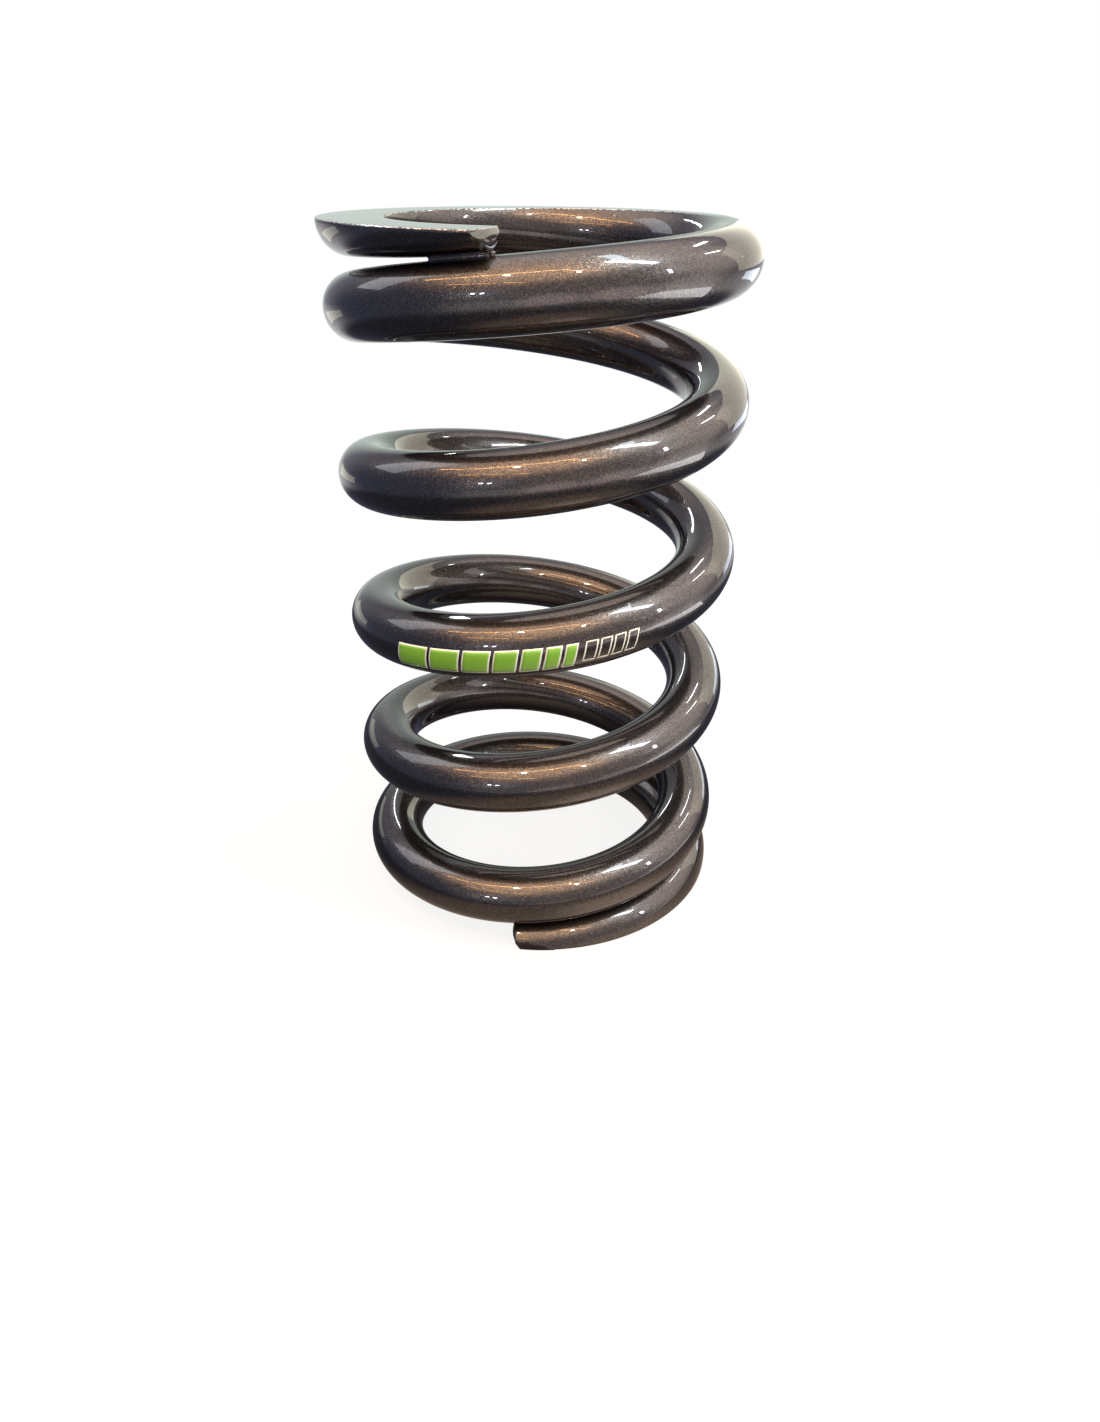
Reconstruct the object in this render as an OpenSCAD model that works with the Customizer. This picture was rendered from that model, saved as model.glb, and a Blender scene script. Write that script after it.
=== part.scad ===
// Coil spring for a shock absorber: one round wire, wound right-handed, closed and ground at both ends.
// The origin is the centre of the bottom ground face, and +Z runs along the coil's axis.

/* [Wire] */
// Diameter of the round wire
wire_d = 11; // [9:0.1:12]
// Radius of the rounded edge where the wire was cut off
nose_r = 1; // [0.8:0.1:1.2]

/* [Coil] */
// Mean diameter of the coil, between wire centres
coil_mean_d = 62.5; // [58:0.5:70]
// Free length, from ground face to ground face
free_length = 126; // [120:1:145]
// Turns of wire, from tip to tip
total_turns = 5.988; // [5.6:0.002:6.2]
// Where the top tip points, seen from above, counted from +X
top_tip_angle = -102.7; // [-180:0.1:180]

/* [Closed and ground ends] */
// Clearance between each tip and the turn that it closes on
tip_clearance = 0.2; // [0.15:0.05:0.5]
// Wire left under the grinding at the top tip
top_tip_thickness = 3.2; // [3:0.1:5]
// Turns over which the top tip bends away from the turn below
top_rest_turns = 0.08; // [0.04:0.01:0.12]
// Turns from the top tip where the wire starts to level out
top_level_from = 0.43; // [0.35:0.01:0.5]
// Turns from the top tip where it lies most level
top_level_turns = 0.65; // [0.6:0.01:0.75]
// Pitch where it lies most level
top_level_pitch = 4; // [3:0.5:9]
// Turns from the top tip where the full pitch is reached
top_open_turns = 1.2; // [1.15:0.01:1.4]
// Wire left above the grinding at the bottom tip
bottom_tip_thickness = 3.6; // [3.4:0.1:5]
// Turns over which the bottom tip bends away from the turn above
bottom_rest_turns = 0.12; // [0.04:0.01:0.12]
// Turns from the bottom tip where the wire starts to level out
bottom_level_from = 0.38; // [0.35:0.01:0.5]
// Turns from the bottom tip where it lies most level
bottom_level_turns = 0.7; // [0.6:0.01:0.75]
// Pitch where it lies most level
bottom_level_pitch = 9.5; // [7:0.5:10]
// Turns from the bottom tip where the full pitch is reached
bottom_open_turns = 1.39; // [1.2:0.01:1.4]

/* [Blunted tips] */
// Depth of each tip's bevel for 1 mm of its length
bevel_fall = 1.25; // [1:0.05:1.3]
// Length of the top tip's bevel, at the middle of the wire
top_bevel_run = 0.65; // [0.4:0.05:0.8]
// How much longer that bevel is at the coil's outer side than at the middle
top_bevel_skew = 1; // [0:0.1:1]
// Length of the bottom tip's bevel
bottom_bevel_run = 1.5; // [1:0.1:1.6]

// How much further back the top tip is cut at the coil's outer side than at its inner side
top_cut_skew = 1.2; // [0:0.1:2]

/* [Smoothness] */
// Cross sections in one turn
rings_per_turn = 40; // [24:2:48]

/* [Hidden] */

wire_r = wire_d / 2;
coil_r = coil_mean_d / 2;

// A section has a top span and a bottom span, which the grinding flattens, and a flank on each side.
span_steps = 4;
flank_steps = 6;
section_points = 2 * (span_steps + flank_steps);
even_half_angle = 180 * span_steps / section_points;

mm_per_turn = 2 * PI * coil_r;

// Distances from a tip, along the wire, of the closer sections that form its rounded and bevelled end
longest_bevel = max(top_bevel_run * (1 + top_bevel_skew), bottom_bevel_run);
past_nose = max(nose_r, longest_bevel) + 0.2;
function end_steps(run) = [0, 0.3 * run, 0.65 * run, run, past_nose, past_nose + 1.3, past_nose + 3];

// Turns counted at the old pitch where the pitch changes from a to b: n up to a, then fewer and fewer.
function ease(u) = pow(u, 3) - pow(u, 4) / 2;
function early_turns(n, a, b) =
    let (u = min(max((n - a) / (b - a), 0), 1))
    n <= a ? n : a + (b - a) * (u - ease(u));

// An end, as turns from its tip: bends away from the next turn until [0], keeps one closing pitch
// until [1], is most level at [2] with the pitch [3], and reaches the full pitch at [4].
top_end = [top_rest_turns, top_level_from, top_level_turns, top_level_pitch, top_open_turns];
bottom_end = [
    bottom_rest_turns, bottom_level_from, bottom_level_turns, bottom_level_pitch, bottom_open_turns
];
function early_shares(n, end) = [
    early_turns(n, 0, end[0]), early_turns(n, end[1], end[2]), early_turns(n, end[2], end[4])
];

// Each tip is parallel to the turn that it closes on: the pitch one turn away from it.
function rest_pitch(full, end) =
    let (u = (1 - end[2]) / (end[4] - end[2]), opened = 3 * pow(u, 2) - 2 * pow(u, 3))
    full * opened + end[3] * (1 - opened);
// The closing pitch brings each tip down to its clearance from that turn.
function closing_pitch(full, end) =
    let (shares = early_shares(1, end), rest = rest_pitch(full, end))
    (wire_d + tip_clearance - full + (full - end[3]) * shares[2] + end[3] * shares[1]
        - rest * shares[0]) / (shares[1] - shares[0]);

// How much less the wire rises than the full pitch would give, n turns from the tip of an end
function end_loss(n, full, end) =
    let (shares = early_shares(n, end), closing = closing_pitch(full, end))
    (full - end[3]) * shares[2] - (closing - end[3]) * shares[1]
        - (rest_pitch(full, end) - closing) * shares[0];

// The full pitch makes up the free length. The rise grows evenly with it, so two values give it.
centre_rise = free_length - top_tip_thickness - bottom_tip_thickness + wire_d;
function rise_with(full) =
    full * total_turns - end_loss(total_turns, full, bottom_end) - end_loss(total_turns, full, top_end);
full_pitch = (centre_rise - rise_with(0)) / (rise_with(1) - rise_with(0));
top_loss = end_loss(total_turns, full_pitch, top_end);

// Direction and height of the wire's centre, n turns above the bottom tip
function wire_angle(n) = top_tip_angle - 360 * (total_turns - n);
function wire_height(n) =
    bottom_tip_thickness - wire_r + full_pitch * n - end_loss(n, full_pitch, bottom_end)
    - top_loss + end_loss(total_turns - n, full_pitch, top_end);
function climb_angle(n) =
    let (step = 0.01)
    atan((wire_height(n + step) - wire_height(n - step)) / (2 * step * mm_per_turn));

// A point of the wire: rho outward from its centre, rise square to the wire, never above the limit
function wire_point(n, rho, rise, low, high) =
    let (
        a = wire_angle(n),
        c = climb_angle(n),
        z = wire_height(n),
        h = max(min(rise, (high - z) / cos(c)), (low - z) / cos(c))
    )
    [
        (coil_r + rho) * cos(a) + h * sin(c) * sin(a),
        (coil_r + rho) * sin(a) - h * sin(c) * cos(a),
        max(min(z + h * cos(c), high), low)
    ];

// Half the angle that a flat at a given height takes out of the section
function flat_half_angle(height, radius) = 90 - asin(max(min(height / radius, 1), -0.98));
// Half the angle of a span that isn't cut, so that its steps match those of the flanks
function even_share(other) =
    (180 - max(other, even_half_angle)) * (span_steps / 2) / (span_steps / 2 + flank_steps);

// One section, listed round from the start of the top span
function section_at(radius, top_flat, bottom_flat) =
    let (
        t_cut = flat_half_angle(top_flat, radius),
        b_cut = flat_half_angle(bottom_flat, radius),
        t = max(t_cut, even_share(b_cut)),
        b = max(b_cut, even_share(t_cut)),
        flank = 180 - t - b
    )
    [
        for (i = [0 : span_steps - 1])
            let (rho = radius * sin(t) * (1 - 2 * i / span_steps))
            [rho, i == 0 ? radius * cos(t) : sqrt(radius * radius - rho * rho)],
        for (i = [0 : flank_steps - 1])
            let (a = 90 + t + flank * i / flank_steps)
            [radius * cos(a), radius * sin(a)],
        for (i = [0 : span_steps - 1])
            let (rho = radius * sin(b) * (2 * i / span_steps - 1))
            [rho, i == 0 ? -radius * cos(b) : -sqrt(radius * radius - rho * rho)],
        for (i = [0 : flank_steps - 1])
            let (a = -90 + b + flank * i / flank_steps)
            [radius * cos(a), radius * sin(a)]
    ];

// The distance s from the nearer tip decides a section's size and its bevel.
function nose_radius(s) =
    s >= nose_r ? wire_r : wire_r - nose_r + sqrt(nose_r * nose_r - pow(nose_r - s, 2));
function top_bevel(s, rho) =
    bevel_fall * max(0, top_bevel_run * (1 + top_bevel_skew * rho / wire_r) - s);
function bottom_bevel(s) = bevel_fall * max(0, bottom_bevel_run - s);

// The skewed cut turns the sections near the top tip, and they turn square again over this length.
skew_reach = 6;
function turned_back(point, rho, s) =
    let (
        back = top_cut_skew * (1 + rho / wire_r) / 2 * max(0, 1 - s / skew_reach),
        a = 360 * back / mm_per_turn
    )
    [point[0] * cos(a) + point[1] * sin(a), point[1] * cos(a) - point[0] * sin(a), point[2]];

bottom_steps = end_steps(bottom_bevel_run);
top_steps = end_steps(top_bevel_run * (1 + top_bevel_skew));
first_even = (past_nose + 3) / mm_per_turn;
even_count = round((total_turns - 2 * first_even) * rings_per_turn);
ring_turns = [
    for (s = bottom_steps) s / mm_per_turn,
    for (k = [1 : even_count - 1]) first_even + (total_turns - 2 * first_even) * k / even_count,
    for (i = [len(top_steps) - 1 : -1 : 0]) total_turns - top_steps[i] / mm_per_turn
];

function ring_at(n) =
    let (
        at_top = n > total_turns / 2,
        s = (at_top ? total_turns - n : n) * mm_per_turn,
        low = at_top ? 0 : bottom_bevel(s),
        z = wire_height(n)
    )
    [
        for (p = section_at(nose_radius(s), free_length - (at_top ? top_bevel(s, 0) : 0) - z, z - low))
            let (point = wire_point(n, p[0], p[1], low, free_length - (at_top ? top_bevel(s, p[0]) : 0)))
            at_top ? turned_back(point, p[0], s) : point
    ];

module spring() {
    rings = [for (n = ring_turns) ring_at(n)];
    last = len(rings) - 1;
    m = section_points;
    points = [for (ring = rings) each ring];
    skin = [
        for (k = [0 : last - 1], i = [0 : m - 1])
            let (a = k * m + i, b = k * m + (i + 1) % m)
            each [[a, b + m, a + m], [a, b, b + m]]
    ];
    // Each cap fans out from the middle of the span that the grinding leaves round.
    bottom_apex = span_steps / 2;
    top_apex = last * m + bottom_apex + m / 2;
    caps = [
        for (i = [1 : m - 2])
            let (a = (bottom_apex + i) % m, b = (a + 1) % m)
            let (c = last * m + (a + m / 2) % m, d = last * m + (b + m / 2) % m)
            each [[bottom_apex, b, a], [top_apex, c, d]]
    ];
    color("#4a3a35") polyhedron(points = points, faces = concat(skin, caps), convexity = 10);
}

spring();
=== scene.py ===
"""A shock absorber's coil spring: round steel wire, sprayed with a bronze metallic lacquer.

The wire runs up from the tip of the bottom turn to the tip of the top turn. n counts the turns
along it, rho points outward from its centre, and rise points square to both. Lengths are in metres.
"""
import math

import bpy
from bpy.props import FloatProperty, PointerProperty, StringProperty
from mathutils import Matrix, Vector


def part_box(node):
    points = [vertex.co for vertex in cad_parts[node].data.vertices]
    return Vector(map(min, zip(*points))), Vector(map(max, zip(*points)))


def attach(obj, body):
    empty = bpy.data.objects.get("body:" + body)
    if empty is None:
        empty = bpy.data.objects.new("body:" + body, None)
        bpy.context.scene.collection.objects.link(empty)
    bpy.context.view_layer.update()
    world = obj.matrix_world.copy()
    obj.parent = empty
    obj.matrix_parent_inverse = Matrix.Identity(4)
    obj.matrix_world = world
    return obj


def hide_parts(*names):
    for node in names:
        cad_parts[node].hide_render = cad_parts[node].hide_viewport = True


bl_info = {
    "name": "Shock Absorber Spring",
    "version": (1, 0, 0),
    "blender": (4, 5, 0),
    "location": "View3D > Sidebar > Spring",
    "description": "Builds a closed and ground coil spring with its lacquer, print and studio",
    "category": "Add Mesh",
}

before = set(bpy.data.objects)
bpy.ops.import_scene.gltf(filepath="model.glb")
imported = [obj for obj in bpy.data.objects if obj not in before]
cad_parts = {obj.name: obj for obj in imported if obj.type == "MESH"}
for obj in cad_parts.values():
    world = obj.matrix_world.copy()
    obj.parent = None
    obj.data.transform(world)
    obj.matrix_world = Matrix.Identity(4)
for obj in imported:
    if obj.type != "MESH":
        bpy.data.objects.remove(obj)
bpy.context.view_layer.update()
NODE = "spring"
BODY = "root"
node_low, node_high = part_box(NODE)

MM = 0.001
TURN = 2 * math.pi


class SpringSizes(bpy.types.PropertyGroup):
    """Sizes of the wire, the coil and its ground ends"""

    wire_diameter: FloatProperty(
        name="Wire Diameter", description="Diameter of the round wire",
        default=11 * MM, unit="LENGTH")
    coil_diameter: FloatProperty(
        name="Mean Coil Diameter", description="Diameter of the coil, between wire centres",
        default=62.5 * MM, unit="LENGTH")
    free_length: FloatProperty(
        name="Free Length", description="Height from ground face to ground face",
        default=node_high[2] - node_low[2], unit="LENGTH")
    total_turns: FloatProperty(
        name="Turns", description="Turns of wire, from tip to tip", default=5.988)
    top_tip_angle: FloatProperty(
        name="Top Tip Direction", description="Where the top tip points, counted from +X",
        default=math.radians(-102.7), subtype="ANGLE")
    tip_clearance: FloatProperty(
        name="Tip Clearance", description="Gap between each tip and the turn it closes on",
        default=0.2 * MM, unit="LENGTH")
    top_tip_thickness: FloatProperty(
        name="Top Tip Thickness", description="Wire left under the grinding at the top tip",
        default=3.2 * MM, unit="LENGTH")
    top_rest_turns: FloatProperty(
        name="Top Rest Turns", description="Turns over which the top tip bends away from the next",
        default=0.08)
    top_level_from: FloatProperty(
        name="Top Level From", description="Turns from the top tip to the start of levelling out",
        default=0.43)
    top_level_turns: FloatProperty(
        name="Top Level Turns", description="Turns from the top tip to the most level wire",
        default=0.65)
    top_level_pitch: FloatProperty(
        name="Top Level Pitch", description="Pitch where the wire is most level",
        default=4 * MM, unit="LENGTH")
    top_open_turns: FloatProperty(
        name="Top Open Turns", description="Turns from the top tip to the full pitch", default=1.2)
    bottom_tip_thickness: FloatProperty(
        name="Bottom Tip Thickness", description="Wire left above the grinding at the bottom tip",
        default=3.6 * MM, unit="LENGTH")
    bottom_rest_turns: FloatProperty(
        name="Bottom Rest Turns", default=0.12,
        description="Turns over which the bottom tip bends away from the next")
    bottom_level_from: FloatProperty(
        name="Bottom Level From", default=0.38,
        description="Turns from the bottom tip to the start of levelling out")
    bottom_level_turns: FloatProperty(
        name="Bottom Level Turns", description="Turns from the bottom tip to the most level wire",
        default=0.7)
    bottom_level_pitch: FloatProperty(
        name="Bottom Level Pitch", description="Pitch where the wire is most level",
        default=9.5 * MM, unit="LENGTH")
    bottom_open_turns: FloatProperty(
        name="Bottom Open Turns", description="Turns from the bottom tip to the full pitch",
        default=1.39)
    nose_radius: FloatProperty(
        name="Nose Radius", description="Rounding of the edge where the wire was cut off",
        default=1 * MM, unit="LENGTH")
    bevel_fall: FloatProperty(
        name="Bevel Fall", description="Depth of each tip's bevel for its length", default=1.25)
    top_bevel_run: FloatProperty(
        name="Top Bevel Length", description="Length of the top bevel at the middle of the wire",
        default=0.65 * MM, unit="LENGTH")
    top_bevel_skew: FloatProperty(
        name="Top Bevel Skew", description="How much longer the top bevel is at the outer side",
        default=1.0)
    bottom_bevel_run: FloatProperty(
        name="Bottom Bevel Length", description="Length of the bottom bevel",
        default=1.5 * MM, unit="LENGTH")
    top_cut_skew: FloatProperty(
        name="Top Cut Skew", unit="LENGTH", default=1.2 * MM,
        description="How much further back the top tip is cut at the coil's outer side")
    skin_inset: FloatProperty(
        name="Skin Inset", description="How far the drawn skin lies inside the nominal wire",
        default=0.06 * MM, unit="LENGTH")
    paint_edge: FloatProperty(
        name="Painted Edge Radius", description="Radius that the paint leaves on a ground edge",
        default=0.3 * MM, unit="LENGTH")


class SpringColours(bpy.types.PropertyGroup):
    """Colours of the lacquer and of the print, as sRGB hex values"""

    flake_dark: StringProperty(
        name="Dark Flake", description="Colour of the duller flakes", default="333336")
    flake_bright: StringProperty(
        name="Bright Flake", description="Colour of the brighter flakes", default="685E55")
    print_green: StringProperty(
        name="Print Green", description="Fill of the print", default="7DBB2E")
    print_pale: StringProperty(
        name="Print Outline", description="Outline of the print", default="EEF3DF")
    worn_edge: StringProperty(
        name="Worn Edge", description="Primer that shows where a ground edge is worn",
        default="D9D6CC")
    # A dark patch low on the outer side of the bottom tip, just above its ground face
    tip_patch_colour: StringProperty(
        name="Tip Patch Colour", description="Steel where the lacquer came off the bottom tip",
        default="1C1512")
    dust: StringProperty(
        name="Dust", description="Colour of the dust specks", default="B9B4AC")
    floor: StringProperty(
        name="Floor", description="Colour of the floor and of the backdrop", default="FBFBFA")


class SpringStage(bpy.types.PropertyGroup):
    """Where the camera stands, and how the photograph frames the spring"""

    distance: FloatProperty(
        name="Camera Distance", description="From the coil's axis, along the floor",
        default=186.6 * MM, unit="LENGTH")
    height: FloatProperty(
        name="Camera Height", description="Above the bottom ground face",
        default=135.25 * MM, unit="LENGTH")
    tilt: FloatProperty(
        name="Camera Tilt", description="How far the camera looks down",
        default=0.51385, subtype="ANGLE")
    turn: FloatProperty(
        name="Camera Turn", description="How far the camera looks to its right",
        default=0.0115, subtype="ANGLE")
    roll: FloatProperty(
        name="Camera Roll", description="How far the camera leans about its own axis",
        default=-0.00904, subtype="ANGLE")
    focal_pixels: FloatProperty(
        name="Focal Length", description="In pixels of the 1100 by 1422 photograph", default=1014.9)
    axis_row: FloatProperty(
        name="Axis Row", description="Row of the photograph that the lens points at", default=724.45)


def linear(hex_colour, share=1):
    """An sRGB hex colour as linear red, green and blue, each times share, and an alpha of 1."""
    channels = [int(hex_colour[i:i + 2], 16) / 255 for i in (0, 2, 4)]
    return [share * (c / 12.92 if c <= 0.04045 else ((c + 0.055) / 1.055) ** 2.4)
            for c in channels] + [1.0]


def ease(u):
    """The area under a smooth step, from its start to u."""
    return u ** 3 - u ** 4 / 2


def early_turns(n, a, b):
    """Turns counted at the old pitch where the pitch changes from a to b."""
    if n <= a:
        return n
    u = min((n - a) / (b - a), 1)
    return a + (b - a) * (u - ease(u))


class WireEnd:
    """How the pitch changes over the turns next to one tip."""

    def __init__(self, sizes, end):
        self.rest_turns = getattr(sizes, end + "_rest_turns")
        self.level_from = getattr(sizes, end + "_level_from")
        self.level_turns = getattr(sizes, end + "_level_turns")
        self.level_pitch = getattr(sizes, end + "_level_pitch")
        self.open_turns = getattr(sizes, end + "_open_turns")
        self.next_turn = sizes.wire_diameter + sizes.tip_clearance

    def early_shares(self, n):
        return (early_turns(n, 0, self.rest_turns),
                early_turns(n, self.level_from, self.level_turns),
                early_turns(n, self.level_turns, self.open_turns))

    def rest_pitch(self, full):
        """The tip is parallel to the turn it closes on, so it takes the pitch one turn away."""
        u = (1 - self.level_turns) / (self.open_turns - self.level_turns)
        opened = 3 * u ** 2 - 2 * u ** 3
        return full * opened + self.level_pitch * (1 - opened)

    def closing_pitch(self, full):
        """The pitch that brings the tip down to its clearance from the next turn."""
        rest, level, opening = self.early_shares(1)
        return (self.next_turn - full + (full - self.level_pitch) * opening
                + self.level_pitch * level - self.rest_pitch(full) * rest) / (level - rest)

    def loss(self, n, full):
        """How much less the wire rises than the full pitch would give, n turns from the tip."""
        rest, level, opening = self.early_shares(n)
        closing = self.closing_pitch(full)
        return ((full - self.level_pitch) * opening - (closing - self.level_pitch) * level
                - (self.rest_pitch(full) - closing) * rest)


class WirePath:
    """The path of the wire's centre, and points round it."""

    def __init__(self, sizes):
        self.sizes = sizes
        self.turns = sizes.total_turns
        self.wire_r = sizes.wire_diameter / 2
        self.skin_r = self.wire_r - sizes.skin_inset
        self.coil_r = sizes.coil_diameter / 2
        self.length_per_turn = TURN * self.coil_r
        self.top = WireEnd(sizes, "top")
        self.bottom = WireEnd(sizes, "bottom")
        rise = (sizes.free_length - sizes.top_tip_thickness - sizes.bottom_tip_thickness
                + sizes.wire_diameter)
        self.pitch = (rise - self.rise_with(0)) / (self.rise_with(1) - self.rise_with(0))
        self.top_loss = self.top.loss(self.turns, self.pitch)
        self.places = {}

    def rise_with(self, full):
        return (full * self.turns - self.bottom.loss(self.turns, full)
                - self.top.loss(self.turns, full))

    def angle(self, n):
        return self.sizes.top_tip_angle - TURN * (self.turns - n)

    def height(self, n):
        return (self.sizes.bottom_tip_thickness - self.wire_r + self.pitch * n
                - self.bottom.loss(n, self.pitch) - self.top_loss
                + self.top.loss(self.turns - n, self.pitch))

    def place(self, n):
        """Direction, climb and height of the wire's centre, worked out once for each section."""
        if n not in self.places:
            step = 0.01
            rise = self.height(n + step) - self.height(n - step)
            self.places[n] = (self.angle(n), math.atan(rise / (2 * step * self.length_per_turn)),
                              self.height(n))
        return self.places[n]

    def point(self, n, rho, rise, low=-math.inf, high=math.inf):
        """A point of the wire, held between the heights low and high."""
        a, c, z = self.place(n)
        rise = max(min(rise, (high - z) / math.cos(c)), (low - z) / math.cos(c))
        return (
            (self.coil_r + rho) * math.cos(a) + rise * math.sin(c) * math.sin(a),
            (self.coil_r + rho) * math.sin(a) - rise * math.sin(c) * math.cos(a),
            max(min(z + rise * math.cos(c), high), low),
        )

    def surface(self, n, phi, proud=0.0):
        """A point on the wire's skin, phi round from its outermost line and proud of it."""
        r = self.skin_r + proud
        return self.point(n, r * math.cos(phi), r * math.sin(phi))

    def half_height(self, rho):
        """How far the skin lies above and below the wire's centre, at rho from it."""
        return math.sqrt(self.skin_r ** 2 - rho ** 2)

    def around_axis(self, rho, angle, height):
        """A point at rho from the wire's centre line, in one direction from the coil's axis."""
        return (self.coil_r + rho) * math.cos(angle), (self.coil_r + rho) * math.sin(angle), height


# A section has a flat span at its top and bottom, four painted edges, and a flank on each side.
FLAT_STEPS = 6
EDGE_STEPS = 5
FLANK_STEPS = 22
# Where the wire isn't ground, the flat span and the painted edge end at these angles from upright.
ROUND_FLAT = math.radians(15)
ROUND_EDGE = math.radians(24)
# The least half width of a flat, as a share of the wire's radius
LEAST_REACH = 0.05

# The sections along the wire: how many there are in a turn, over the rounded nose of each tip and
# next to it, and how small the rings are that close an end
RINGS_PER_TURN = 206
NOSE_STEPS = 8
TIP_STEPS = 12
TIP_SPACING = 0.12 * MM
CAP_SCALES = (0.8, 0.55, 0.3)
# The length over which the sections turn square again behind the skewed cut
SKEW_REACH = 6 * MM


def flat_end(radius, height, edge):
    """Points (rho, rise) from the middle of a flat, over its painted edge, to where the wire is round.

    The flat lies at height above the wire's centre. The last value is the angle from upright to the
    start of the round flank.
    """
    if height >= radius * math.cos(ROUND_FLAT):
        angles = [ROUND_FLAT * i / (FLAT_STEPS / 2) for i in range(FLAT_STEPS // 2)]
        angles += [ROUND_FLAT + (ROUND_EDGE - ROUND_FLAT) * i / EDGE_STEPS for i in range(EDGE_STEPS)]
        return [(radius * math.sin(a), radius * math.cos(a)) for a in angles], ROUND_EDGE
    middle = height - edge
    reach = math.sqrt(max((radius - edge) ** 2 - middle ** 2, (LEAST_REACH * radius) ** 2))
    turn = math.atan2(reach, middle)
    points = [(reach * i / (FLAT_STEPS / 2), height) for i in range(FLAT_STEPS // 2)]
    for i in range(EDGE_STEPS):
        a = turn * i / EDGE_STEPS
        points.append((reach + edge * math.sin(a), middle + edge * math.cos(a)))
    return points, turn


def section(radius, top_height, bottom_height, edge):
    """One closed section of the wire, as (rho, rise) from the middle of the top, outward and down."""
    top, top_turn = flat_end(radius, top_height, edge)
    bottom, bottom_turn = flat_end(radius, bottom_height, edge)
    flank_turn = math.pi - top_turn - bottom_turn
    flank = []
    for i in range(FLANK_STEPS + 1):
        a = top_turn + flank_turn * i / FLANK_STEPS
        flank.append((radius * math.sin(a), radius * math.cos(a)))
    outer = top + flank + [(x, -y) for x, y in reversed(bottom)]
    inner = [(-x, y) for x, y in reversed(outer[1:-1])]
    return outer + inner


def wire_ring(path, n):
    """The points of one section of the wire, in the part's frame."""
    sizes = path.sizes
    at_top = n > path.turns / 2
    s = (path.turns - n if at_top else n) * path.length_per_turn
    radius = path.skin_r
    if s < sizes.nose_radius:
        radius += math.sqrt(sizes.nose_radius ** 2 - (sizes.nose_radius - s) ** 2) - sizes.nose_radius

    def ground_top(rho):
        run = sizes.top_bevel_run * (1 + sizes.top_bevel_skew * rho / path.wire_r) if at_top else 0
        return sizes.free_length - sizes.bevel_fall * max(0, run - s)

    low = 0 if at_top else sizes.bevel_fall * max(0, sizes.bottom_bevel_run - s)
    z = path.place(n)[2]
    ring = []
    for rho, rise in section(radius, ground_top(0) - z, z - low, sizes.paint_edge):
        x, y, z = path.point(n, rho, rise, low, ground_top(rho))
        if at_top:
            x, y = turned_back(path, x, y, rho, s)
        ring.append((x, y, z))
    return ring


def turned_back(path, x, y, rho, s):
    """The skewed cut turns the sections near the top tip, and less and less over the skew's reach."""
    back = path.sizes.top_cut_skew * (1 + rho / path.wire_r) / 2 * max(0, 1 - s / SKEW_REACH)
    a = TURN * back / path.length_per_turn
    return x * math.cos(a) + y * math.sin(a), y * math.cos(a) - x * math.sin(a)


def ring_places(path):
    """Where the sections stand, in turns from the bottom tip: closer together at the two noses."""
    nose = path.sizes.nose_radius
    ends = [nose * (1 - math.cos(math.pi / 2 * i / NOSE_STEPS)) for i in range(NOSE_STEPS)]
    ends += [nose + TIP_SPACING * i for i in range(TIP_STEPS)]
    ends = [s / path.length_per_turn for s in ends]
    first = ends[-1]
    count = round((path.turns - 2 * first) * RINGS_PER_TURN)
    middle = [first + (path.turns - 2 * first) * k / count for k in range(1, count)]
    return ends + middle + [path.turns - n for n in reversed(ends)]


def close_end(points, faces, ring, facing_up):
    """Closes an open ring of the skin with smaller and smaller rings, and a fan in the middle."""
    centre = sum((Vector(points[i]) for i in ring), Vector()) / len(ring)
    count = len(ring)

    def wind(face):
        return tuple(face) if facing_up else tuple(reversed(face))

    outer, outer_scale = ring, 1
    for scale in CAP_SCALES:
        inner = []
        for i in outer:
            inner.append(len(points))
            points.append(tuple(centre + (Vector(points[i]) - centre) * scale / outer_scale))
        for k in range(count):
            faces.append(wind((outer[k], outer[(k + 1) % count], inner[(k + 1) % count], inner[k])))
        outer, outer_scale = inner, scale
    points.append(tuple(centre))
    for k in range(count):
        faces.append(wind((outer[k], outer[(k + 1) % count], len(points) - 1)))


def new_piece(name, points, faces, materials):
    """A mesh object from points and faces, shaded smooth, with its materials."""
    mesh = bpy.data.meshes.new(name)
    mesh.from_pydata(points, [], faces)
    mesh.validate()
    mesh.update()
    mesh.polygons.foreach_set("use_smooth", [True] * len(mesh.polygons))
    piece = bpy.data.objects.new(name, mesh)
    for material in materials:
        mesh.materials.append(material)
    bpy.context.scene.collection.objects.link(piece)
    return piece


def add_node(tree, kind, inputs=None, **settings):
    """Adds a node with its settings, and gives its inputs values or other nodes' outputs."""
    node = tree.nodes.new(kind)
    for key, value in settings.items():
        setattr(node, key, value)
    for key, value in (inputs or {}).items():
        if isinstance(value, bpy.types.NodeSocket):
            tree.links.new(value, node.inputs[key])
        else:
            node.inputs[key].default_value = value
    return node


def new_material(name):
    material = bpy.data.materials.new(name)
    material.use_nodes = True
    tree = material.node_tree
    tree.nodes.clear()
    return material, tree


# The grain of each finish. A real flake is about 0.03 mm across, too fine to show, so it is drawn as
# coarse as the sparkle that the eye sees.
FLAKE_SIZE = 0.14 * MM
PEEL_SIZE = 3.0 * MM
SPECK_SPACING = 1.7 * MM
CHIP_SIZE = 0.7 * MM
TIP_PATCH_GRAIN = 0.8 * MM
INK_GRAIN = 0.5 * MM

# The flakes: how few of them are bright, how far they tilt, the colour that stands for no tilt, and
# the tint of their gloss at a glancing angle
GLINT_POWER = 2.0
FLAKE_TILT = 0.09
NO_TILT = (0.5, 0.5, 0.5)
GLANCING_TINT = "9C98A0"
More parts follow.
